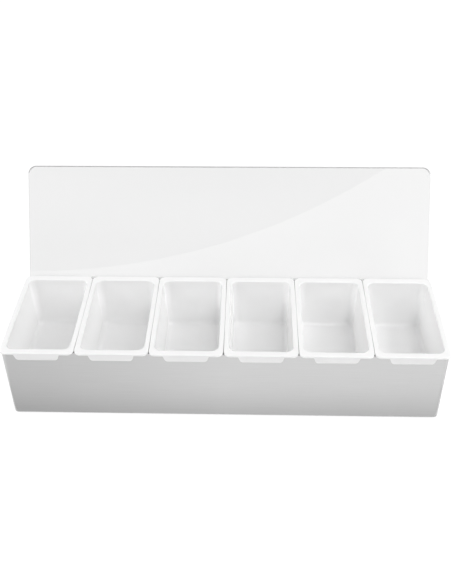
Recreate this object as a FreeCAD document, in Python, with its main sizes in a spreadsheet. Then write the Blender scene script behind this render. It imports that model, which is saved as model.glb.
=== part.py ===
import FreeCAD, Part
import math
import os
import re

import Sketcher

# Garnish tray for a bar top. A brushed stainless housing carries six lift-out inserts in a row,
# under one clear lid that is hinged along the rear. X runs along the row, +Y to the rear, +Z up.
# The origin lies on the surface that the feet stand on, below the middle of the housing.
# The lid is drawn closed about its hinge axis and placed open, leaning back on its stop.

# Counts of what repeats
INSERT_COUNT = 6
BRACKET_SIDES = {"left": -1, "centre": 0, "right": 1}
FOOT_CORNERS = {
    "front_left": (-1, -1),
    "front_right": (1, -1),
    "rear_left": (-1, 1),
    "rear_right": (1, 1),
}

# Driving sizes, in millimetres and degrees
SIZES = {
    # Inserts: a rim with bowed sides, a drafted cup and a finger tab
    "insert_width": 81.7,
    "insert_gap": 0.1,
    "rim_depth": 142.0,
    "rim_thickness": 2.0,
    "rim_bow": 0.2,
    "rim_corner_radius": 7.0,
    "rim_edge_radius": 0.6,
    "cavity_depth": 64.0,
    "cavity_floor_radius": 5.6,
    "corner_spare": 0.2,
    "cavity_lip_radius": 1.2,
    "insert_wall": 2.0,
    "insert_floor": 2.0,
    "draft_angle": 2.5,
    "tab_top_width": 51.0,
    "tab_bottom_width": 45.0,
    "tab_drop": 8.0,
    "tab_thickness": 2.0,
    "tab_set_back": 0.2,
    "tab_corner_radius": 4.0,
    "tab_edge_radius": 0.7,
    # Room round the cups inside the hemmed wall, and between the tabs and the wall
    "tab_gap": 0.5,
    "cup_front_gap": 1.9,
    "cup_rear_gap": 2.1,
    "cup_end_gap": 0.8,
    # Housing: folded sheet wall, hem, return flange and base plate
    "end_overhang": 1.35,
    "rear_overhang": 2.5,
    "sheet_thickness": 0.7,
    "wall_height": 92.0,
    "wall_lift": 2.0,
    "wall_corner_radius": 5.0,
    "wall_bend_radius": 1.8,
    "return_width": 10.0,
    "hem_height": 8.0,
    "plate_gap": 0.2,
    # Push-in feet
    "foot_radius": 6.5,
    "foot_edge_radius": 0.8,
    "foot_margin": 5.5,
    "stem_radius": 2.0,
    "stem_gap": 0.1,
    "barb_radius": 2.8,
    "barb_tip_radius": 1.4,
    "barb_height": 2.5,
    # Hinge axis, rod and rod caps
    "hinge_set_back": 5.5,
    "hinge_drop": 9.5,
    "rod_radius": 1.5,
    "rod_running_gap": 0.05,
    "rod_press_gap": 0.02,
    "cap_radius": 3.4,
    "cap_edge_radius": 1.2,
    "cap_length": 5.0,
    "cap_wall": 1.2,
    "cap_gap": 0.3,
    # Hinge brackets: a leaf on the rear wall, a slanted web and a rolled knuckle
    "bracket_width": 24.0,
    "bracket_sheet": 1.0,
    "bracket_inset": 61.0,
    "leaf_drop": 32.0,
    "leaf_bend_radius": 2.0,
    "web_angle": 45.0,
    "knuckle_wrap": 270.0,
    "rivet_spacing": 14.0,
    "rivet_edge": 8.0,
    "rivet_radius": 1.6,
    "rivet_gap": 0.05,
    "rivet_head_radius": 3.2,
    "rivet_head_height": 1.2,
    "rivet_tail_radius": 2.6,
    "rivet_tail_height": 1.0,
    # Lid: panel, rear flange, barrel and stop lip
    "lid_width": 494.0,
    "lid_reach": 140.0,
    "lid_thickness": 3.0,
    "lid_gap": 0.4,
    "lid_corner_radius": 10.0,
    "lid_edge_radius": 0.6,
    "lid_bend_radius": 2.0,
    "lid_open_angle": 122.0,
    "barrel_radius": 4.0,
    "lip_out": 2.0,
    "lip_width": 3.0,
    "lip_height": 2.5,
    "stop_gap": 0.3,
    "end_relief": 6.0,
    "notch_gap": 0.6,
    "notch_rise": 1.0,
    # How far a cut runs past what it cuts
    "overrun": 1.0,
}

# The row of rims and the cups that hang inside the hemmed wall
PITCH = "(insert_width + insert_gap)"
ROW_END = f"({INSERT_COUNT} * insert_width / 2 + {INSERT_COUNT - 1} * insert_gap / 2)"
FRONT_OVERHANG = "(tab_set_back + tab_thickness + tab_gap)"
HEM = "(2 * sheet_thickness)"
RIM_FRONT_WIDTH = f"({FRONT_OVERHANG} + {HEM} + cup_front_gap + insert_wall)"
RIM_REAR_WIDTH = f"(rear_overhang + {HEM} + cup_rear_gap + insert_wall)"
RIM_SIDE_WIDTH = f"(end_overhang + {HEM} + cup_end_gap + insert_wall)"
CAVITY_SIDE = f"(insert_width / 2 - {RIM_SIDE_WIDTH})"
CAVITY_FRONT = f"({RIM_FRONT_WIDTH} - rim_depth / 2)"
CAVITY_REAR = f"(rim_depth / 2 - {RIM_REAR_WIDTH})"
# The cup's corners narrow with the draft, and at the floor they still clear the floor's own round
CAVITY_CORNER = "(cavity_floor_radius + corner_spare + cavity_depth * tan(draft_angle))"
CUP_WALL = "(insert_wall - rim_thickness * tan(draft_angle))"
CUP_DROP = "(cavity_depth + insert_floor - rim_thickness)"
FLOOR_LEVEL = "(rim_thickness - cavity_depth)"

# The housing under the rims
HOUSING_END = f"({ROW_END} - end_overhang)"
HOUSING_FRONT = f"({FRONT_OVERHANG} - rim_depth / 2)"
HOUSING_REAR = "(rim_depth / 2 - rear_overhang)"
HOUSING_MIDDLE = f"(({HOUSING_FRONT} + {HOUSING_REAR}) / 2)"
HOUSING_HALF_DEPTH = f"(({HOUSING_REAR} - {HOUSING_FRONT}) / 2)"
WALL_TOP = "(wall_lift + wall_height)"
PLATE_LEVEL = "(wall_lift + sheet_thickness)"
FOOT_INSET = "(return_width + foot_radius + foot_margin)"

# The hinge behind the rear wall
HINGE_Y = "(rim_depth / 2 + hinge_set_back)"
HINGE_Z = f"({WALL_TOP} + rim_thickness - hinge_drop)"
WALL_DISTANCE = "(hinge_set_back + rear_overhang)"
BARREL_END = "(lid_width / 2 - end_relief)"
BRACKET_SPACING = f"({BARREL_END} - bracket_inset)"
RIVET_LEVEL = "(rivet_edge - leaf_drop)"

doc = FreeCAD.newDocument("garnish_tray")
sizes = doc.addObject("Spreadsheet::Sheet", "sizes")
for row, (alias, number) in enumerate(SIZES.items(), 1):
    sizes.set(f"A{row}", alias)
    sizes.set(f"B{row}", str(number))
    sizes.setAlias(f"B{row}", alias)
doc.recompute()

# Places closer than this, in millimetres, are the same when edges are picked
SAME = 0.0001


def on_sheet(text):
    """The expression with each size written as a cell of the sheet."""
    return re.sub(r"[a-z_]+", lambda word: f"sizes.{word[0]}" if word[0] in SIZES else word[0], text)


def value(text):
    """The number that an expression of the sizes gives."""
    return float(sizes.evalExpression(on_sheet(text)))


def bind(item, name, text):
    """Ties one property of an object to an expression of the sizes."""
    item.setExpression(name, on_sheet(text))


def constrain(sketch, kind, places, text):
    """A dimension of a sketch, tied to an expression of the sizes."""
    index = sketch.addConstraint(Sketcher.Constraint(kind, *places, value(text)))
    bind(sketch, f"Constraints[{index}]", text)


def pin(sketch, point, x, y):
    """Holds a sketch point at a place given by two expressions."""
    for kind, axis, text in (("DistanceX", -2, x), ("DistanceY", -1, y)):
        if text == "0":
            sketch.addConstraint(Sketcher.Constraint("PointOnObject", *point, axis))
        else:
            constrain(sketch, kind, (-1, 1, *point), text)


def draw(sketch, stops, closed=True):
    """Lines and arcs from stop to stop. A stop is (x, y), or (x, y, radius, turn) where the
    stretch to the next stop is an arc of that radius that turns left or right."""
    spots = [FreeCAD.Vector(value(stop[0]), value(stop[1]), 0) for stop in stops]
    starts = []
    ends = []
    for index in range(len(stops) if closed else len(stops) - 1):
        here = spots[index]
        there = spots[(index + 1) % len(spots)]
        if len(stops[index]) == 2:
            edge = sketch.addGeometry(Part.LineSegment(here, there))
            starts.append((edge, 1))
            ends.append((edge, 2))
            continue
        radius_text, turn = stops[index][2:]
        radius = value(radius_text)
        half = (there - here) / 2
        side = FreeCAD.Vector(-half.y, half.x, 0).normalize()
        reach = math.sqrt(max(radius**2 - half.Length**2, 0))
        centre = here + half + side * (reach if turn == "left" else -reach)
        first, last = (here, there) if turn == "left" else (there, here)
        angles = [math.atan2(spot.y - centre.y, spot.x - centre.x) for spot in (first, last)]
        circle = Part.Circle(centre, FreeCAD.Vector(0, 0, 1), radius)
        edge = sketch.addGeometry(Part.ArcOfCircle(circle, *angles))
        starts.append((edge, 1 if turn == "left" else 2))
        ends.append((edge, 2 if turn == "left" else 1))
        constrain(sketch, "Radius", (edge,), radius_text)
    for index, end in enumerate(ends):
        if closed or index + 1 < len(starts):
            follower = starts[(index + 1) % len(starts)]
            sketch.addConstraint(Sketcher.Constraint("Coincident", *end, *follower))
    for stop, start in zip(stops, starts):
        pin(sketch, start, stop[0], stop[1])
    if not closed:
        pin(sketch, ends[-1], stops[-1][0], stops[-1][1])


def draw_circle(sketch, x, y, radius):
    """A circle at a place given by two expressions."""
    centre = FreeCAD.Vector(value(x), value(y), 0)
    edge = sketch.addGeometry(Part.Circle(centre, FreeCAD.Vector(0, 0, 1), value(radius)))
    constrain(sketch, "Radius", (edge,), radius)
    pin(sketch, (edge, 3), x, y)


def draw_rounded_rectangle(sketch, left, right, front, rear, radius):
    """A rectangle with four equal round corners."""
    draw(sketch, [
        (f"{left} + {radius}", front),
        (f"{right} - {radius}", front, radius, "left"),
        (right, f"{front} + {radius}"),
        (right, f"{rear} - {radius}", radius, "left"),
        (f"{right} - {radius}", rear),
        (f"{left} + {radius}", rear, radius, "left"),
        (left, f"{rear} - {radius}"),
        (left, f"{front} + {radius}", radius, "left"),
    ])


def new_body(label, x="0", y="0", z="0"):
    """An empty piece with its own label and place."""
    body = doc.addObject("PartDesign::Body", label)
    body.Label = label
    for name, text in (("x", x), ("y", y), ("z", z)):
        bind(body, f"Placement.Base.{name}", text)
    return body


def origin_feature(body, role):
    """One of the piece's own origin planes or axes."""
    return next(item for item in body.Origin.OriginFeatures if item.Role == role)


def new_sketch(body, name, role, offset="0"):
    """A sketch on one of the piece's own origin planes, moved along that plane's normal."""
    sketch = body.newObject("Sketcher::SketchObject", name)
    sketch.AttachmentSupport = [(origin_feature(body, role), "")]
    sketch.MapMode = "FlatFace"
    bind(sketch, "AttachmentOffset.Base.z", offset)
    return sketch


def add_pad(body, sketch, length, side="One side", back=False, taper="0"):
    """Material along the sketch's normal, or against it."""
    pad = body.newObject("PartDesign::Pad", f"{sketch.Name}_pad")
    pad.Profile = sketch
    pad.SideType = side
    pad.Reversed = back
    bind(pad, "Length", length)
    bind(pad, "TaperAngle", taper)
    return pad


def add_pocket(body, sketch, length=None, side="One side", back=False, taper="0"):
    """A cut of the given depth, or right through where none is given."""
    doc.recompute()
    before = body.Shape.Volume
    pocket = body.newObject("PartDesign::Pocket", f"{sketch.Name}_pocket")
    pocket.Profile = sketch
    pocket.SideType = side
    pocket.Reversed = back
    pocket.Type = "ThroughAll" if length is None else "Length"
    if length is not None:
        bind(pocket, "Length", length)
        bind(pocket, "TaperAngle", taper)
    doc.recompute()
    if body.Shape.Volume >= before:
        raise RuntimeError(f"{pocket.Name} cuts nothing")
    return pocket


def add_fillet(body, base, radius, picks):
    """Rounds the edges that picks chooses."""
    doc.recompute()
    names = [f"Edge{number}" for number, edge in enumerate(base.Shape.Edges, 1) if picks(edge)]
    fillet = body.newObject("PartDesign::Fillet", f"{base.Name}_fillet")
    fillet.Base = (base, names)
    bind(fillet, "Radius", radius)
    return fillet


def add_revolution(body, sketch, axis):
    """A full turn of the sketch about one of the piece's own axes."""
    turned = body.newObject("PartDesign::Revolution", f"{sketch.Name}_turned")
    turned.Profile = sketch
    turned.ReferenceAxis = (origin_feature(body, axis), [""])
    return turned


def lies_at(edge, axis, text):
    """True where the whole edge lies in one plane across an axis."""
    box = edge.BoundBox
    place = value(text)
    return all(abs(getattr(box, axis + end) - place) < SAME for end in ("Min", "Max"))


def borders_cavity(edge):
    """True where the edge of a rim runs along the cavity and not along the rim's outside."""
    box = edge.BoundBox
    side = value(CAVITY_SIDE) + SAME
    front = value(CAVITY_FRONT) - SAME
    rear = value(CAVITY_REAR) + SAME
    return -side <= box.XMin and box.XMax <= side and front <= box.YMin and box.YMax <= rear


def make_insert(number):
    """One lift-out insert, drawn about the middle of its rim's underside."""
    offset = number - (INSERT_COUNT + 1) / 2
    body = new_body(f"insert_{number}", f"{offset} * {PITCH}", "0", WALL_TOP)

    # The rim's sides bow out towards the neighbours, and its ends are straight
    corner = "(insert_width / 2 - rim_bow)"
    half_side = "(rim_depth / 2 - rim_corner_radius)"
    side_radius = f"(({half_side} * {half_side} + rim_bow * rim_bow) / (2 * rim_bow))"
    flat = f"({corner} - rim_corner_radius)"
    rim_sketch = new_sketch(body, "rim", "XY_Plane")
    draw(rim_sketch, [
        (f"-{flat}", "-rim_depth / 2"),
        (flat, "-rim_depth / 2", "rim_corner_radius", "left"),
        (corner, f"-{half_side}", side_radius, "left"),
        (corner, half_side, "rim_corner_radius", "left"),
        (flat, "rim_depth / 2"),
        (f"-{flat}", "rim_depth / 2", "rim_corner_radius", "left"),
        (f"-{corner}", half_side, side_radius, "left"),
        (f"-{corner}", f"-{half_side}", "rim_corner_radius", "left"),
    ])
    add_pad(body, rim_sketch, "rim_thickness")

    cup_sketch = new_sketch(body, "cup", "XY_Plane")
    draw_rounded_rectangle(
        cup_sketch,
        f"(-{CAVITY_SIDE} - {CUP_WALL})",
        f"({CAVITY_SIDE} + {CUP_WALL})",
        f"({CAVITY_FRONT} - {CUP_WALL})",
        f"({CAVITY_REAR} + {CUP_WALL})",
        f"({CAVITY_CORNER} + {CUP_WALL})",
    )
    add_pad(body, cup_sketch, CUP_DROP, back=True, taper="-draft_angle")

    cavity_sketch = new_sketch(body, "cavity", "XY_Plane", "rim_thickness")
    draw_rounded_rectangle(
        cavity_sketch, f"(-{CAVITY_SIDE})", CAVITY_SIDE, CAVITY_FRONT, CAVITY_REAR, CAVITY_CORNER
    )
    cavity = add_pocket(body, cavity_sketch, "cavity_depth", taper="-draft_angle")
    floor_round = add_fillet(
        body, cavity, "cavity_floor_radius", lambda edge: lies_at(edge, "Z", FLOOR_LEVEL)
    )
    add_fillet(
        body, floor_round, "cavity_floor_radius + insert_wall / 2",
        lambda edge: lies_at(edge, "Z", f"-{CUP_DROP}"),
    )

    tab_sketch = new_sketch(body, "tab", "XZ_Plane", "rim_depth / 2 - tab_set_back")
    draw(tab_sketch, [
        ("-tab_bottom_width / 2", "-tab_drop"),
        ("tab_bottom_width / 2", "-tab_drop"),
        ("tab_top_width / 2", "0"),
        ("tab_top_width / 2", "rim_thickness / 2"),
        ("-tab_top_width / 2", "rim_thickness / 2"),
        ("-tab_top_width / 2", "0"),
    ])
    tab = add_pad(body, tab_sketch, "tab_thickness", back=True)

    tab_corners = add_fillet(
        body, tab, "tab_corner_radius",
        lambda edge: lies_at(edge, "Z", "-tab_drop") and edge.BoundBox.XLength < SAME,
    )
    tab_edges = add_fillet(
        body, tab_corners, "tab_edge_radius",
        lambda edge: lies_at(edge, "Y", "tab_set_back - rim_depth / 2") and edge.BoundBox.ZMin < 0,
    )
    rim_edges = add_fillet(
        body, tab_edges, "rim_edge_radius",
        lambda edge: lies_at(edge, "Z", "rim_thickness") and not borders_cavity(edge),
    )
    add_fillet(
        body, rim_edges, "cavity_lip_radius",
        lambda edge: lies_at(edge, "Z", "rim_thickness") and borders_cavity(edge),
    )
    return body


def make_wall_wrap():
    """The folded wall, with its hem at the top and its return flange at the bottom."""
    body = new_body("wall_wrap", "0", HOUSING_MIDDLE, "wall_lift")

    def ring(name, level, inset, radius):
        sketch = new_sketch(body, name, "XY_Plane", level)
        draw_rounded_rectangle(
            sketch,
            f"({inset} - {HOUSING_END})",
            f"({HOUSING_END} - {inset})",
            f"({inset} - {HOUSING_HALF_DEPTH})",
            f"({HOUSING_HALF_DEPTH} - {inset})",
            radius,
        )
        return sketch

    block = add_pad(body, ring("outside", "0", "0", "wall_corner_radius"), "wall_height")
    add_fillet(body, block, "wall_bend_radius", lambda edge: lies_at(edge, "Z", "0"))
    mouth_sketch = ring("mouth", "wall_height", HEM, f"(wall_corner_radius - {HEM})")
    add_pocket(body, mouth_sketch, "hem_height")
    inner_radius = "(wall_corner_radius - sheet_thickness)"
    inside_sketch = ring("inside", "wall_height - hem_height", "sheet_thickness", inner_radius)
    inside = add_pocket(body, inside_sketch, "wall_height - hem_height - sheet_thickness")
    add_fillet(
        body, inside, "wall_bend_radius - sheet_thickness",
        lambda edge: lies_at(edge, "Z", "sheet_thickness"),
    )
    opening_sketch = ring("opening", "sheet_thickness", "return_width", "wall_corner_radius")
    add_pocket(body, opening_sketch)

    holes = new_sketch(body, "rivet_holes", "XZ_Plane")
    level = f"({HINGE_Z} + {RIVET_LEVEL} - wall_lift)"
    for side in BRACKET_SIDES.values():
        for end in (-1, 1):
            across = f"{side} * {BRACKET_SPACING} + {end} * rivet_spacing / 2"
            draw_circle(holes, across, level, "rivet_radius + rivet_gap")
    add_pocket(body, holes)
    return body


def make_base_plate():
    """The flat bottom sheet, which lies on the wall's return flange and takes the feet's stems."""
    body = new_body("base_plate", "0", HOUSING_MIDDLE, PLATE_LEVEL)
    inset = "(wall_bend_radius + plate_gap)"
    outline = new_sketch(body, "outline", "XY_Plane")
    draw_rounded_rectangle(
        outline,
        f"({inset} - {HOUSING_END})",
        f"({HOUSING_END} - {inset})",
        f"({inset} - {HOUSING_HALF_DEPTH})",
        f"({HOUSING_HALF_DEPTH} - {inset})",
        "wall_corner_radius",
    )
    add_pad(body, outline, "sheet_thickness")
    holes = new_sketch(body, "stem_holes", "XY_Plane")
    for across, along in FOOT_CORNERS.values():
        draw_circle(
            holes,
            f"{across} * ({HOUSING_END} - {FOOT_INSET})",
            f"{along} * ({HOUSING_HALF_DEPTH} - {FOOT_INSET})",
            "stem_radius + stem_gap",
        )
    add_pocket(body, holes, side="Symmetric")
    return body


def make_foot(corner, across, along):
    """One rubber foot, with a stem through the base plate and a barb above it."""
    body = new_body(
        f"foot_{corner}",
        f"{across} * ({HOUSING_END} - {FOOT_INSET})",
        f"{HOUSING_MIDDLE} + {along} * ({HOUSING_HALF_DEPTH} - {FOOT_INSET})",
    )
    plate_top = f"({PLATE_LEVEL} + sheet_thickness)"
    profile = new_sketch(body, "profile", "XZ_Plane")
    draw(profile, [
        ("0", "0"),
        ("foot_radius - foot_edge_radius", "0", "foot_edge_radius", "left"),
        ("foot_radius", "foot_edge_radius"),
        ("foot_radius", PLATE_LEVEL),
        ("stem_radius", PLATE_LEVEL),
        ("stem_radius", plate_top),
        ("barb_radius", plate_top),
        ("barb_tip_radius", f"{plate_top} + barb_height"),
        ("0", f"{plate_top} + barb_height"),
    ])
    add_revolution(body, profile, "Z_Axis")
    return body


def make_bracket(name, side):
    """One hinge bracket, a bent strip drawn about the hinge axis."""
    body = new_body(f"hinge_bracket_{name}", f"{side} * {BRACKET_SPACING}", HINGE_Y, HINGE_Z)
    roll = "(rod_radius + rod_press_gap + bracket_sheet / 2)"
    leaf = f"(bracket_sheet / 2 - {WALL_DISTANCE})"
    touch_y = f"(-{roll} * cos(web_angle))"
    touch_z = f"({roll} * sin(web_angle))"
    fold_z = f"({touch_z} + ({leaf} - {touch_y}) * cos(web_angle) / sin(web_angle))"
    tangent = "(leaf_bend_radius * tan(web_angle / 2))"
    half_way = "(90 + web_angle - knuckle_wrap / 2)"
    finish = "(90 + web_angle - knuckle_wrap)"
    spine = new_sketch(body, "spine", "YZ_Plane")
    draw(spine, [
        (leaf, "-leaf_drop"),
        (leaf, f"{fold_z} - {tangent}", "leaf_bend_radius", "right"),
        (f"{leaf} + {tangent} * sin(web_angle)", f"{fold_z} + {tangent} * cos(web_angle)"),
        (touch_y, touch_z, roll, "right"),
        (f"{roll} * cos({half_way})", f"{roll} * sin({half_way})", roll, "right"),
        (f"{roll} * cos({finish})", f"{roll} * sin({finish})"),
    ], closed=False)
    section = new_sketch(body, "section", "XY_Plane", "-leaf_drop")
    draw(section, [
        ("-bracket_width / 2", f"{leaf} - bracket_sheet / 2"),
        ("bracket_width / 2", f"{leaf} - bracket_sheet / 2"),
        ("bracket_width / 2", f"{leaf} + bracket_sheet / 2"),
        ("-bracket_width / 2", f"{leaf} + bracket_sheet / 2"),
    ])
    strip = body.newObject("PartDesign::AdditivePipe", "strip")
    strip.Profile = section
    strip.Spine = (spine, [])
    holes = new_sketch(body, "rivet_holes", "XZ_Plane")
    for end in (-1, 1):
        draw_circle(holes, f"{end} * rivet_spacing / 2", RIVET_LEVEL, "rivet_radius + rivet_gap")
    add_pocket(body, holes, side="Symmetric")
    return body


def make_rivets(name, side):
    """The two rivets of one bracket, with domed heads outside and flat tails inside the wall."""
    first = f"{side} * {BRACKET_SPACING} - rivet_spacing / 2"
    body = new_body(f"rivets_{name}", first, HOUSING_REAR, f"{HINGE_Z} + {RIVET_LEVEL}")
    dome = "((rivet_head_radius * rivet_head_radius / rivet_head_height + rivet_head_height) / 2)"
    profile = new_sketch(body, "profile", "YZ_Plane")
    draw(profile, [
        ("-sheet_thickness - rivet_tail_height", "0"),
        ("bracket_sheet + rivet_head_height", "0", dome, "left"),
        ("bracket_sheet", "rivet_head_radius"),
        ("bracket_sheet", "rivet_radius"),
        ("-sheet_thickness", "rivet_radius"),
        ("-sheet_thickness", "rivet_tail_radius"),
        ("-sheet_thickness - rivet_tail_height", "rivet_tail_radius"),
    ])
    rivet = add_revolution(body, profile, "Y_Axis")
    doc.recompute()
    pair = body.newObject("PartDesign::LinearPattern", "pair")
    pair.Originals = [rivet]
    pair.Direction = (origin_feature(body, "X_Axis"), [""])
    pair.Occurrences = 2
    bind(pair, "Length", "rivet_spacing")
    body.Tip = pair
    return body


def make_rod():
    """The hinge rod, which ends inside its caps."""
    half = f"({BARREL_END} + cap_gap + cap_length - cap_wall)"
    rod = doc.addObject("Part::Cylinder", "hinge_rod")
    rod.Label = "hinge_rod"
    rod.Placement.Rotation = FreeCAD.Rotation(FreeCAD.Vector(0, 1, 0), 90)
    bind(rod, "Radius", "rod_radius")
    bind(rod, "Height", f"2 * {half}")
    bind(rod, "Placement.Base.x", f"-{half}")
    bind(rod, "Placement.Base.y", HINGE_Y)
    bind(rod, "Placement.Base.z", HINGE_Z)
    return rod


def make_cap(name, side):
    """A push-on cap over one end of the rod."""
    body = new_body(f"rod_cap_{name}", "0", HINGE_Y, HINGE_Z)
    mouth = f"({BARREL_END} + cap_gap)"
    top = f"({mouth} + cap_length)"
    floor = f"({top} - cap_wall)"
    bore = "rod_radius + rod_press_gap"
    turn = "right" if side > 0 else "left"
    profile = new_sketch(body, "profile", "XY_Plane")
    draw(profile, [
        (f"{side} * {mouth}", bore),
        (f"{side} * {mouth}", "cap_radius"),
        (f"{side} * ({top} - cap_edge_radius)", "cap_radius", "cap_edge_radius", turn),
        (f"{side} * {top}", "cap_radius - cap_edge_radius"),
        (f"{side} * {top}", "0"),
        (f"{side} * {floor}", "0"),
        (f"{side} * {floor}", bore),
    ])
    add_revolution(body, profile, "X_Axis")
    return body


def make_lid():
    """The clear lid, drawn closed about the hinge axis and then swung open."""
    body = new_body("lid", "0", HINGE_Y, HINGE_Z)
    body.Placement.Rotation = FreeCAD.Rotation(FreeCAD.Vector(-1, 0, 0), value("lid_open_angle"))
    bind(body, "Placement.Rotation.Angle", "lid_open_angle")
    under = "(hinge_drop + lid_gap)"
    top = f"({under} + lid_thickness)"
    inner = "(barrel_radius - lid_thickness)"
    outer_bend = "(lid_bend_radius + lid_thickness)"
    shell = new_sketch(body, "shell", "YZ_Plane")
    draw(shell, [
        ("-lid_reach", under),
        (f"{inner} - lid_bend_radius", under, "lid_bend_radius", "right"),
        (inner, f"{under} - lid_bend_radius"),
        (inner, "0"),
        ("barrel_radius", "0"),
        ("barrel_radius", f"{top} - {outer_bend}", outer_bend, "left"),
        (f"barrel_radius - {outer_bend}", top),
        ("-lid_reach", top),
    ])
    panel = add_pad(body, shell, "lid_width", "Symmetric")
    corners = add_fillet(
        body, panel, "lid_corner_radius",
        lambda edge: lies_at(edge, "Y", "-lid_reach") and edge.BoundBox.XLength < SAME,
    )
    add_fillet(
        body, corners, "lid_edge_radius",
        lambda edge: lies_at(edge, "Z", top) or (lies_at(edge, "Z", under) and edge.BoundBox.YMax < 0),
    )

    barrel = new_sketch(body, "barrel", "YZ_Plane")
    draw_circle(barrel, "0", "0", "barrel_radius")
    add_pad(body, barrel, "lid_width", "Symmetric")

    # The lip's slanted end lies flat along the rear wall when the lid is open
    reach = "(barrel_radius + lip_out)"
    root = f"({reach} - lip_width)"

    def on_stop(across):
        return f"((stop_gap - {WALL_DISTANCE} - {across} * cos(lid_open_angle)) / sin(lid_open_angle))"

    lip = new_sketch(body, "stop_lip", "YZ_Plane")
    draw(lip, [
        ("0", "0"),
        (root, on_stop(root)),
        (reach, on_stop(reach)),
        (reach, f"{on_stop(reach)} + lip_height"),
        ("barrel_radius", "0"),
    ])
    add_pad(body, lip, "lid_width", "Symmetric")

    bore = new_sketch(body, "bore", "YZ_Plane")
    draw_circle(bore, "0", "0", "rod_radius + rod_running_gap")
    add_pocket(body, bore, side="Symmetric")

    # Room for the brackets' knuckles, and for the rod caps at both ends
    notches = new_sketch(body, "notches", "XZ_Plane")
    low = f"-({WALL_DISTANCE} + {reach})"
    high = "(barrel_radius + notch_rise)"
    half_notch = "(bracket_width / 2 + notch_gap)"
    spans = [("-lid_width / 2 - overrun", f"-{BARREL_END}"), (BARREL_END, "lid_width / 2 + overrun")]
    for side in BRACKET_SIDES.values():
        middle = f"{side} * {BRACKET_SPACING}"
        spans.append((f"{middle} - {half_notch}", f"{middle} + {half_notch}"))
    for left, right in spans:
        draw(notches, [(left, low), (right, low), (right, high), (left, high)])
    add_pocket(body, notches, side="Symmetric")
    return body


pieces = [make_wall_wrap(), make_base_plate(), make_rod(), make_lid()]
for name, side in BRACKET_SIDES.items():
    pieces.append(make_bracket(name, side))
    pieces.append(make_rivets(name, side))
    if side:
        pieces.append(make_cap(name, side))
for corner, (across, along) in FOOT_CORNERS.items():
    pieces.append(make_foot(corner, across, along))
for number in range(1, INSERT_COUNT + 1):
    pieces.append(make_insert(number))

doc.recompute()
for item in doc.Objects:
    if "Invalid" in item.State or "Error" in item.State:
        raise RuntimeError(f"{item.Name} failed: {item.State}")
for piece in pieces:
    if piece.Shape.isNull() or not piece.Shape.isValid():
        raise RuntimeError(f"{piece.Label} has no valid shape")

os.makedirs("parts", exist_ok=True)
for piece in pieces:
    piece.Shape.exportStep(f"parts/{piece.Label}.step")
    print(piece.Label, len(piece.Shape.Solids), round(piece.Shape.Volume, 1))
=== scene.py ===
import math

import bpy
from mathutils import Matrix, Vector


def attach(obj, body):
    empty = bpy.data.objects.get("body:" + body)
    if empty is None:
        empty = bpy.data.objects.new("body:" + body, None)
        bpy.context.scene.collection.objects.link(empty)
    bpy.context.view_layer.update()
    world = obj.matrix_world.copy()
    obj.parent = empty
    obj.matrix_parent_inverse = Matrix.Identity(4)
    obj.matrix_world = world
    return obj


# Garnish tray: brushed stainless housing, six white inserts and a clear lid that leans back open.
# Metres, +X along the row, +Y to the rear, +Z up.
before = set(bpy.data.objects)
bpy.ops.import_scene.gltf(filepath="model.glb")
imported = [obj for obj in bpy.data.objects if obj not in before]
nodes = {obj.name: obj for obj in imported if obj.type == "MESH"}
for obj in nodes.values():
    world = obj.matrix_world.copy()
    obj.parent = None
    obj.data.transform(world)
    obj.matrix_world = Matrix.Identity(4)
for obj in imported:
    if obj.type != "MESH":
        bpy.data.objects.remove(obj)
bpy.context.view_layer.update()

MM = 0.001

# Camera, from the photograph's perspective: the lens is given in pixels of its height
IMAGE_HEIGHT = 584
SENSOR = 36.0
LENS_PIXELS = 811.5
CAMERA_PLACE = (27.8 * MM, -722.6 * MM, 684.4 * MM)
CAMERA_TILT_DOWN = 37.56
CAMERA_TURN_LEFT = 2.11
CAMERA_ROLL = -0.77

# Soft light: a dim pale room, a softbox above, one at each side, a key light at the front right
# and a weak low fill at the front left
ROOM_LIGHT = 0.10
WHITE = 1.0
LIGHT_AIM = (0.0, 0.0, 0.07)
SOFTBOXES = {
    "softbox_above": {"place": (0.0, 0.10, 1.50), "size": (1.6, 1.2), "power": 0.8},
    "softbox_left": {"place": (-1.30, -0.20, 1.10), "size": (0.9, 0.9), "power": 14.1},
    "softbox_right": {"place": (1.30, -0.20, 1.10), "size": (0.9, 0.9), "power": 13.9},
    "key_front_right": {"place": (0.43, -1.20, 1.72), "size": (0.7, 0.7), "power": 12.5},
    "fill_front_left": {"place": (-0.45, -1.50, 0.42), "size": (1.0, 0.4), "power": 1.8},
}

# The open lid leans back this way. Its sawn top edge is rougher and cloudy, and carries painted shade: a
# thin grey line along the top only, standing in for light caught inside the sheet, that fades out within a
# share of the rounded corners.
LID_UP = (0.0, 0.530, 0.848)
LID_CORNER = 10 * MM
LID_EDGE_SHADE_LINE = 1.2 * MM
LID_EDGE_SHADE_FADE = 0.6
LID_EDGE_ROUGHNESS = 0.35
LID_EDGE_CLOUDING = 0.7

# Floor: pale, as white to the eye as the room, and darker only where the tray shades it.
# It makes up for the lamps' falling light away from the tray, so that it has no horizon.
# Mirrored in the steel, it shows more of that shade than it does to the eye.
FLOOR_SIZE = 8.0
FLOOR_COLOUR = "#F4F4F4"
FLOOR_GLOW = 0.85
FLOOR_FAR_GLOW = 1.0
FLOOR_NEAR = 0.45
FLOOR_FAR = 1.60
FLOOR_SHADE = 0.25
FLOOR_MIRRORED_WHITE = 0.30

# A round dark scrim leans over the tray, seen only in reflections: a painted reflection, glowing a fixed
# dark grey, whose edge draws an arc across the lid
SCRIM_CENTRE = (-490 * MM, 99 * MM, 1809 * MM)
SCRIM_RADIUS = 1529 * MM
SCRIM_FACING = (0.0, -0.849, 0.528)
SCRIM_REFLECTED_GREY = 0.02
SCRIM_SIDES = 256
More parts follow.
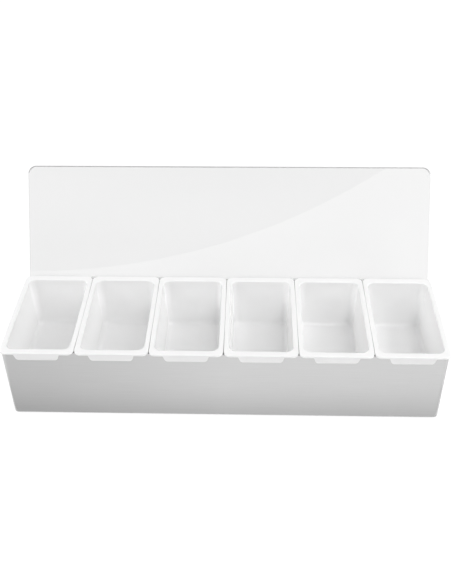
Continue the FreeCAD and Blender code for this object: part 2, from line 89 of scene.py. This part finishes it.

# A card of painted shadow on the floor before the tray, also seen only in reflections: it glows a grey that
# stands in for the tray's shadow and darkens the steel's foot and its left. It is darkest at the tray and
# at its left end, and fades out to the front and middle.
CARD_HALF_WIDTH = 0.30
CARD_REAR = -70 * MM
CARD_FRONT = -215 * MM
CARD_FADED = -125 * MM
CARD_LEVEL = 0.5 * MM
CARD_SHADOW_DARK = 0.66
CARD_SHADOW_PALE = 0.98
CARD_LEFT_SHADOW_SHARE = 0.72


def linear(colour):
    """An sRGB hex colour as linear red, green, blue and alpha."""
    channels = [int(colour[start:start + 2], 16) / 255 for start in (1, 3, 5)]
    return (*[c / 12.92 if c <= 0.04045 else ((c + 0.055) / 1.055) ** 2.4 for c in channels], 1.0)


def add_node(tree, kind, inputs=None, **settings):
    """Adds a node. Settings are its own properties, and inputs are values or other nodes' outputs."""
    node = tree.nodes.new(kind)
    for name, setting in settings.items():
        setattr(node, name, setting)
    for name, source in (inputs or {}).items():
        if isinstance(source, bpy.types.NodeSocket):
            tree.links.new(source, node.inputs[name])
        else:
            node.inputs[name].default_value = source
    return node


def new_material(name):
    """An empty node material and its tree."""
    material = bpy.data.materials.new(name)
    material.use_nodes = True
    material.node_tree.nodes.clear()
    return material, material.node_tree


def brushed_stainless():
    """Stainless sheet, brushed along the row: soft reflections, smeared across the grain, in a slightly
    wavy sheet."""
    material, tree = new_material("brushed_stainless_sheet")
    place = add_node(tree, "ShaderNodeTexCoord").outputs["Object"]
    parts = add_node(tree, "ShaderNodeSeparateXYZ", {0: place}).outputs
    run = add_node(tree, "ShaderNodeMath", {0: parts["X"], 1: parts["Y"]}, operation="ADD").outputs[0]
    # Grain of about 0.2 mm by 50 mm is too fine to show, so it is drawn four times as wide
    along = add_node(tree, "ShaderNodeMath", {0: run, 1: 1 / (50 * MM)}, operation="MULTIPLY").outputs[0]
    across = add_node(
        tree, "ShaderNodeMath", {0: parts["Z"], 1: 1 / (0.8 * MM)}, operation="MULTIPLY"
    ).outputs[0]
    sheet = add_node(tree, "ShaderNodeCombineXYZ", {"X": along, "Y": across}).outputs[0]
    grain = add_node(
        tree, "ShaderNodeTexNoise", {"Vector": sheet, "Scale": 1.0, "Detail": 3.0}
    ).outputs["Fac"]
    tone = add_node(
        tree, "ShaderNodeMix",
        {"Factor": grain, "A": linear("#CFCFCF"), "B": linear("#D9D9D9")}, data_type="RGBA",
    )
    # Handling leaves faint cloudy patches a few centimetres across
    cloud = add_node(
        tree, "ShaderNodeTexNoise", {"Vector": place, "Scale": 1 / (35 * MM), "Detail": 3.0}
    ).outputs["Fac"]
    rough = add_node(
        tree, "ShaderNodeMapRange", {"Value": cloud, "To Min": 0.28, "To Max": 0.34}
    ).outputs[0]
    # The thin sheet is out of true by a few tenths of a millimetre between its folds
    wave = add_node(
        tree, "ShaderNodeTexNoise", {"Vector": place, "Scale": 1 / (110 * MM), "Detail": 0.0}
    ).outputs["Fac"]
    sag = add_node(tree, "ShaderNodeBump", {"Strength": 1.0, "Distance": 0.9 * MM, "Height": wave})
    shader = add_node(tree, "ShaderNodeBsdfPrincipled", {
        "Base Color": tone.outputs["Result"],
        "Metallic": 1.0,
        "Roughness": rough,
        "Anisotropic": 0.5,
        "Anisotropic Rotation": 0.25,
        "Normal": sag.outputs[0],
        "Tangent": add_node(tree, "ShaderNodeTangent", direction_type="RADIAL", axis="Z").outputs[0],
    })
    add_node(tree, "ShaderNodeOutputMaterial", {"Surface": shader.outputs[0]})
    return material


def rolled_metal(name, pale, dark, smooth, dull, patch):
    """Sheet or wire as it leaves the mill: an even satin shine with soft darker patches."""
    material, tree = new_material(name)
    place = add_node(tree, "ShaderNodeTexCoord").outputs["Object"]
    cloud = add_node(
        tree, "ShaderNodeTexNoise", {"Vector": place, "Scale": 1 / patch, "Detail": 4.0}
    ).outputs["Fac"]
    tone = add_node(
        tree, "ShaderNodeMix", {"Factor": cloud, "A": linear(pale), "B": linear(dark)}, data_type="RGBA"
    )
    rough = add_node(
        tree, "ShaderNodeMapRange", {"Value": cloud, "To Min": smooth, "To Max": dull}
    ).outputs[0]
    # Rolling marks of a few hundredths of a millimetre are drawn 0.5 mm apart, so that they show close up
    marks = add_node(
        tree, "ShaderNodeTexNoise", {"Vector": place, "Scale": 1 / (0.5 * MM), "Detail": 1.0}
    ).outputs["Fac"]
    relief = add_node(tree, "ShaderNodeBump", {"Strength": 0.1, "Distance": 0.02 * MM, "Height": marks})
    shader = add_node(tree, "ShaderNodeBsdfPrincipled", {
        "Base Color": tone.outputs["Result"],
        "Metallic": 1.0,
        "Roughness": rough,
        "Normal": relief.outputs[0],
    })
    add_node(tree, "ShaderNodeOutputMaterial", {"Surface": shader.outputs[0]})
    return material


def white_polypropylene():
    """Injection-moulded white plastic: bright, with a gloss that gathers in the rounded corners."""
    material, tree = new_material("white_moulded_polypropylene")
    place = add_node(tree, "ShaderNodeTexCoord").outputs["Object"]
    flow = add_node(
        tree, "ShaderNodeTexNoise", {"Vector": place, "Scale": 1 / (20 * MM), "Detail": 2.0}
    ).outputs["Fac"]
    tone = add_node(
        tree, "ShaderNodeMix",
        {"Factor": flow, "A": linear("#FCFCFC"), "B": linear("#F9F9F9")}, data_type="RGBA",
    )
    rough = add_node(
        tree, "ShaderNodeMapRange", {"Value": flow, "To Min": 0.14, "To Max": 0.22}
    ).outputs[0]
    skin = add_node(
        tree, "ShaderNodeTexNoise", {"Vector": place, "Scale": 1 / (1.5 * MM), "Detail": 2.0}
    ).outputs["Fac"]
    relief = add_node(tree, "ShaderNodeBump", {"Strength": 0.03, "Distance": 0.05 * MM, "Height": skin})
    shader = add_node(tree, "ShaderNodeBsdfPrincipled", {
        "Base Color": tone.outputs["Result"],
        "Roughness": rough,
        "IOR": 1.49,
        "Normal": relief.outputs[0],
    })
    add_node(tree, "ShaderNodeOutputMaterial", {"Surface": shader.outputs[0]})
    return material


def clear_acrylic():
    """Clear acrylic sheet: a faint grey body, sharp reflections, and a rougher, cloudy sawn top edge with a
    painted shade line.
    """
    material, tree = new_material("clear_acrylic_sheet")
    place = add_node(tree, "ShaderNodeTexCoord").outputs["Object"]
    corners = [vertex.co for vertex in nodes["lid"].data.vertices]
    top = max(corner.dot(Vector(LID_UP)) for corner in corners)
    half_width = max(corner.x for corner in corners)
    # How far a point lies past the corners' centres, sideways and upwards
    side = add_node(tree, "ShaderNodeSeparateXYZ", {0: place}).outputs["X"]
    side = add_node(tree, "ShaderNodeMath", {0: side}, operation="ABSOLUTE").outputs[0]
    rise = add_node(
        tree, "ShaderNodeVectorMath", {0: place, 1: LID_UP}, operation="DOT_PRODUCT"
    ).outputs["Value"]
    past = []
    for reach, limit in ((side, half_width), (rise, top)):
        beyond = add_node(
            tree, "ShaderNodeMath", {0: reach, 1: limit - LID_CORNER}, operation="SUBTRACT"
        ).outputs[0]
        past.append(add_node(tree, "ShaderNodeMath", {0: beyond, 1: 0.0}, operation="MAXIMUM").outputs[0])
    offset = add_node(tree, "ShaderNodeCombineXYZ", {"X": past[0], "Y": past[1]}).outputs[0]
    distance = add_node(tree, "ShaderNodeVectorMath", {0: offset}, operation="LENGTH").outputs["Value"]
    sawn_and_shaded_band = add_node(
        tree, "ShaderNodeMath", {0: distance, 1: LID_CORNER - LID_EDGE_SHADE_LINE}, operation="GREATER_THAN"
    ).outputs[0]
    # The painted shade line runs along the top edge only and fades out round the corners
    upper = add_node(
        tree, "ShaderNodeMapRange", {"Value": past[1], "From Max": LID_EDGE_SHADE_FADE * LID_CORNER}
    ).outputs[0]
    sawn_edge_and_shade = add_node(tree, "ShaderNodeMath", {0: sawn_and_shaded_band, 1: upper}, operation="MULTIPLY").outputs[0]
    # The grey on the top edge band is painted shade; the band's roughness and clouding are the sawn edge's
    # own
    tone = add_node(
        tree, "ShaderNodeMix",
        {"Factor": sawn_edge_and_shade, "A": linear("#EFEFEF"), "B": linear("#C2C2C2")}, data_type="RGBA",
    )
    # Wiping leaves a haze that only just softens what the sheet mirrors
    haze = add_node(
        tree, "ShaderNodeTexNoise", {"Vector": place, "Scale": 1 / (60 * MM), "Detail": 3.0}
    ).outputs["Fac"]
    veil = add_node(
        tree, "ShaderNodeMapRange", {"Value": haze, "From Min": 0.4, "From Max": 0.8, "To Max": 0.01}
    ).outputs[0]
    rough = add_node(
        tree, "ShaderNodeMath", {0: sawn_edge_and_shade, 1: LID_EDGE_ROUGHNESS, 2: veil}, operation="MULTIPLY_ADD"
    ).outputs[0]
    clear = add_node(
        tree, "ShaderNodeMath", {0: sawn_edge_and_shade, 1: -LID_EDGE_CLOUDING, 2: 1.0}, operation="MULTIPLY_ADD"
    ).outputs[0]
    shader = add_node(tree, "ShaderNodeBsdfPrincipled", {
        "Base Color": tone.outputs["Result"],
        "Roughness": rough,
        "IOR": 1.49,
        "Transmission Weight": clear,
    })
    add_node(tree, "ShaderNodeOutputMaterial", {"Surface": shader.outputs[0]})
    return material


def black_rubber():
    """Moulded black rubber: dull and slightly grainy."""
    material, tree = new_material("black_moulded_rubber")
    place = add_node(tree, "ShaderNodeTexCoord").outputs["Object"]
    grit = add_node(
        tree, "ShaderNodeTexNoise", {"Vector": place, "Scale": 1 / (0.6 * MM), "Detail": 2.0}
    ).outputs["Fac"]
    relief = add_node(tree, "ShaderNodeBump", {"Strength": 0.3, "Distance": 0.1 * MM, "Height": grit})
    shader = add_node(tree, "ShaderNodeBsdfPrincipled", {
        "Base Color": linear("#1C1C1C"),
        "Roughness": 0.7,
        "Normal": relief.outputs[0],
    })
    add_node(tree, "ShaderNodeOutputMaterial", {"Surface": shader.outputs[0]})
    return material


def dress(material, *names):
    """Gives CAD nodes a material."""
    for name in names:
        slots = nodes[name].material_slots
        for slot in slots:
            slot.material = material
        if not slots:
            nodes[name].data.materials.append(material)


steel = brushed_stainless()
plastic = white_polypropylene()
strip = rolled_metal("rolled_stainless_strip", "#C4C4C2", "#B4B4B2", 0.28, 0.38, 12 * MM)
plate = rolled_metal("mill_finish_stainless_plate", "#C2C2C0", "#B6B6B4", 0.34, 0.46, 40 * MM)
wire = rolled_metal("drawn_steel_rod", "#CBCBC9", "#BDBDBB", 0.14, 0.24, 8 * MM)
soft_metal = rolled_metal("upset_aluminium_rivet", "#D2D3D4", "#C2C3C4", 0.28, 0.38, 3 * MM)
dress(steel, "wall_wrap")
dress(plate, "base_plate")
dress(wire, "hinge_rod", "rod_cap_left", "rod_cap_right")
for side in ("left", "centre", "right"):
    dress(strip, f"hinge_bracket_{side}")
    dress(soft_metal, f"rivets_{side}")
dress(black_rubber(), *[name for name in nodes if name.startswith("foot_")])
dress(plastic, *[name for name in nodes if name.startswith("insert_")])
dress(clear_acrylic(), "lid")


# Spot welds that hold the base plate on the wall's return flange, seen from below
WELD_COUNT = 20
WELD_ROW_LENGTH = 476 * MM
WELD_ROW_DEPTH = 124.8 * MM
WELD_ROW_MIDDLE = 0.1 * MM
WELD_LEVEL = 2.0 * MM
WELD_RADIUS = 2.5 * MM
WELD_HEIGHT = 0.3 * MM
WELD_SIDES = 20
WELD_FOOT_SHARE = 0.8


def spot_weld_tree():
    """Geometry Nodes: shallow discs at even steps round a rectangle."""
    tree = bpy.data.node_groups.new("spot_weld_row", "GeometryNodeTree")
    for name, kind in (
        ("Row Length", "NodeSocketFloat"),
        ("Row Depth", "NodeSocketFloat"),
        ("Count", "NodeSocketInt"),
        ("Weld Radius", "NodeSocketFloat"),
        ("Weld Height", "NodeSocketFloat"),
        ("Place", "NodeSocketVector"),
        ("Finish", "NodeSocketMaterial"),
    ):
        tree.interface.new_socket(name, in_out="INPUT", socket_type=kind)
    tree.interface.new_socket("Geometry", in_out="OUTPUT", socket_type="NodeSocketGeometry")
    size = add_node(tree, "NodeGroupInput").outputs
    row = add_node(
        tree, "GeometryNodeCurvePrimitiveQuadrilateral",
        {"Width": size["Row Length"], "Height": size["Row Depth"]},
    )
    spots = add_node(tree, "GeometryNodeResampleCurve", {"Curve": row.outputs[0], "Count": size["Count"]})
    foot = add_node(
        tree, "ShaderNodeMath", {0: size["Weld Radius"], 1: WELD_FOOT_SHARE}, operation="MULTIPLY"
    ).outputs[0]
    disc = add_node(tree, "GeometryNodeMeshCone", {
        "Vertices": WELD_SIDES,
        "Radius Top": size["Weld Radius"],
        "Radius Bottom": foot,
        "Depth": size["Weld Height"],
    })
    welds = add_node(
        tree, "GeometryNodeInstanceOnPoints", {"Points": spots.outputs[0], "Instance": disc.outputs["Mesh"]}
    )
    placed = add_node(
        tree, "GeometryNodeTransform", {"Geometry": welds.outputs[0], "Translation": size["Place"]}
    )
    real = add_node(tree, "GeometryNodeRealizeInstances", {"Geometry": placed.outputs[0]})
    done = add_node(
        tree, "GeometryNodeSetMaterial", {"Geometry": real.outputs[0], "Material": size["Finish"]}
    )
    add_node(tree, "NodeGroupOutput", {"Geometry": done.outputs[0]})
    return tree


def make_spot_welds(finish):
    """The ring of welds as one plain mesh that stays with the housing."""
    maker = bpy.data.objects.new("spot_weld_maker", bpy.data.meshes.new("spot_weld_maker"))
    bpy.context.scene.collection.objects.link(maker)
    modifier = maker.modifiers.new("spot_welds", "NODES")
    tree = spot_weld_tree()
    modifier.node_group = tree
    sizes = {
        "Row Length": WELD_ROW_LENGTH, "Row Depth": WELD_ROW_DEPTH, "Count": WELD_COUNT,
        "Weld Radius": WELD_RADIUS, "Weld Height": WELD_HEIGHT, "Finish": finish,
        "Place": (0.0, WELD_ROW_MIDDLE, WELD_LEVEL - WELD_HEIGHT / 2),
    }
    for item in tree.interface.items_tree:
        if item.in_out == "INPUT":
            modifier[item.identifier] = sizes[item.name]
    graph = bpy.context.evaluated_depsgraph_get()
    mesh = bpy.data.meshes.new_from_object(maker.evaluated_get(graph))
    maker.modifiers.remove(modifier)
    bpy.data.objects.remove(maker)
    mesh.name = "spot_welds"
    welds = bpy.data.objects.new("spot_welds", mesh)
    bpy.context.scene.collection.objects.link(welds)
    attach(welds, "base")


make_spot_welds(rolled_metal("resistance_weld_mark", "#B4B2AE", "#96938D", 0.28, 0.44, 2 * MM))


def seen_by_eye(tree, mirrored=1.0):
    """How much of its white a ray shows: all to the eye and through clear plastic, some in a mirror."""
    rays = add_node(tree, "ShaderNodeLightPath").outputs
    gloss = add_node(
        tree, "ShaderNodeMath", {0: rays["Is Glossy Ray"], 1: mirrored}, operation="MULTIPLY"
    ).outputs[0]
    seen = rays["Is Camera Ray"]
    for share in (gloss, rays["Is Transmission Ray"]):
        seen = add_node(tree, "ShaderNodeMath", {0: seen, 1: share}, operation="MAXIMUM").outputs[0]
    return seen


def light_room():
    """A pale room that looks white, and the softboxes."""
    world = bpy.data.worlds.new("pale_room")
    bpy.context.scene.world = world
    world.use_nodes = True
    tree = world.node_tree
    tree.nodes.clear()
    lit = add_node(tree, "ShaderNodeBackground", {"Strength": ROOM_LIGHT})
    shown = add_node(tree, "ShaderNodeBackground", {"Strength": WHITE})
    for background in (lit, shown):
        background.inputs["Color"].default_value = (1.0, 1.0, 1.0, 1.0)
    either = add_node(
        tree, "ShaderNodeMixShader", {0: seen_by_eye(tree), 1: lit.outputs[0], 2: shown.outputs[0]}
    )
    add_node(tree, "ShaderNodeOutputWorld", {"Surface": either.outputs[0]})
    for name, box in SOFTBOXES.items():
        lamp = bpy.data.lights.new(name, "AREA")
        lamp.shape = "RECTANGLE"
        lamp.size, lamp.size_y = box["size"]
        lamp.energy = box["power"]
        holder = bpy.data.objects.new(name, lamp)
        place = Vector(box["place"])
        turn = (Vector(LIGHT_AIM) - place).to_track_quat("-Z", "Y")
        holder.matrix_world = Matrix.Translation(place) @ turn.to_matrix().to_4x4()
        bpy.context.scene.collection.objects.link(holder)


def stage_sheet(name, corners, material, mirrored_only=False):
    """A flat sheet of the stage. One that is mirrored only is seen in reflections and takes no light."""
    mesh = bpy.data.meshes.new(name)
    mesh.from_pydata(corners, [], [range(len(corners))])
    mesh.materials.append(material)
    sheet = bpy.data.objects.new(name, mesh)
    bpy.context.scene.collection.objects.link(sheet)
    if mirrored_only:
        sheet.visible_camera = False
        sheet.visible_diffuse = False
        sheet.visible_transmission = False
        sheet.visible_shadow = False


def lay_floor():
    """A pale floor that shows white and keeps the tray's shadow."""
    material, tree = new_material("pale_floor")
    plain = add_node(tree, "ShaderNodeBsdfDiffuse", {"Color": linear(FLOOR_COLOUR)})
    shade = add_node(tree, "ShaderNodeBsdfDiffuse", {"Color": (FLOOR_SHADE, FLOOR_SHADE, FLOOR_SHADE, 1.0)})
    place = add_node(tree, "ShaderNodeTexCoord").outputs["Object"]
    distance = add_node(tree, "ShaderNodeVectorMath", {0: place}, operation="LENGTH").outputs["Value"]
    level = add_node(tree, "ShaderNodeMapRange", {
        "Value": distance, "From Min": FLOOR_NEAR, "From Max": FLOOR_FAR,
        "To Min": FLOOR_GLOW, "To Max": FLOOR_FAR_GLOW,
    }).outputs[0]
    glow = add_node(tree, "ShaderNodeEmission", {"Strength": level})
    shown = add_node(tree, "ShaderNodeAddShader", {0: shade.outputs[0], 1: glow.outputs[0]})
    either = add_node(
        tree, "ShaderNodeMixShader",
        {0: seen_by_eye(tree, FLOOR_MIRRORED_WHITE), 1: plain.outputs[0], 2: shown.outputs[0]},
    )
    add_node(tree, "ShaderNodeOutputMaterial", {"Surface": either.outputs[0]})
    half = FLOOR_SIZE / 2
    stage_sheet("floor", [(-half, -half, 0), (half, -half, 0), (half, half, 0), (-half, half, 0)], material)


def hang_scrim():
    """The dark scrim that the lid mirrors: a painted reflection that glows a fixed grey and takes no light.
    """
    material, tree = new_material("painted_reflection_scrim_glow")
    glow = add_node(tree, "ShaderNodeEmission", {"Strength": SCRIM_REFLECTED_GREY})
    add_node(tree, "ShaderNodeOutputMaterial", {"Surface": glow.outputs[0]})
    turn = Vector(SCRIM_FACING).to_track_quat("Z", "Y").to_matrix().to_4x4()
    place = Matrix.Translation(SCRIM_CENTRE) @ turn
    corners = []
    for step in range(SCRIM_SIDES):
        angle = math.tau * step / SCRIM_SIDES
        corners.append(place @ Vector((SCRIM_RADIUS * math.cos(angle), SCRIM_RADIUS * math.sin(angle), 0)))
    stage_sheet("painted_reflection_scrim", corners, material, mirrored_only=True)


def lay_shadow_card():
    """The card of painted shadow that the steel mirrors: a glow, not lit paper."""
    material, tree = new_material("painted_shadow_card_glow")
    place = add_node(tree, "ShaderNodeTexCoord").outputs["Object"]
    parts = add_node(tree, "ShaderNodeSeparateXYZ", {0: place}).outputs
    # Painted shadow: darkest at the tray and at the left end, paler to the front and middle
    fade = add_node(tree, "ShaderNodeMapRange", {
        "Value": parts["Y"], "From Min": CARD_REAR, "From Max": CARD_FADED,
        "To Min": CARD_SHADOW_DARK, "To Max": CARD_SHADOW_PALE,
    }).outputs[0]
    shade = add_node(tree, "ShaderNodeMapRange", {
        "Value": parts["X"], "From Min": -CARD_HALF_WIDTH, "From Max": 0.0,
        "To Min": CARD_LEFT_SHADOW_SHARE, "To Max": 1.0,
    }).outputs[0]
    level = add_node(tree, "ShaderNodeMath", {0: fade, 1: shade}, operation="MULTIPLY").outputs[0]
    glow = add_node(tree, "ShaderNodeEmission", {"Strength": level})
    add_node(tree, "ShaderNodeOutputMaterial", {"Surface": glow.outputs[0]})
    stage_sheet("painted_shadow_card", [
        (-CARD_HALF_WIDTH, CARD_FRONT, CARD_LEVEL), (CARD_HALF_WIDTH, CARD_FRONT, CARD_LEVEL),
        (CARD_HALF_WIDTH, CARD_REAR, CARD_LEVEL), (-CARD_HALF_WIDTH, CARD_REAR, CARD_LEVEL),
    ], material, mirrored_only=True)


def set_camera():
    """The camera at the photograph's viewing angle."""
    lens = bpy.data.cameras.new("camera")
    lens.sensor_width = SENSOR
    lens.lens = LENS_PIXELS / IMAGE_HEIGHT * SENSOR
    camera = bpy.data.objects.new("camera", lens)
    turn = Matrix.Rotation(math.radians(CAMERA_TURN_LEFT), 4, "Z")
    tilt = Matrix.Rotation(math.radians(90 - CAMERA_TILT_DOWN), 4, "X")
    roll = Matrix.Rotation(math.radians(CAMERA_ROLL), 4, "Z")
    camera.matrix_world = Matrix.Translation(CAMERA_PLACE) @ turn @ tilt @ roll
    bpy.context.scene.collection.objects.link(camera)
    bpy.context.scene.camera = camera


light_room()
lay_floor()
hang_scrim()
lay_shadow_card()
set_camera()
bpy.context.scene.view_settings.view_transform = "Standard"
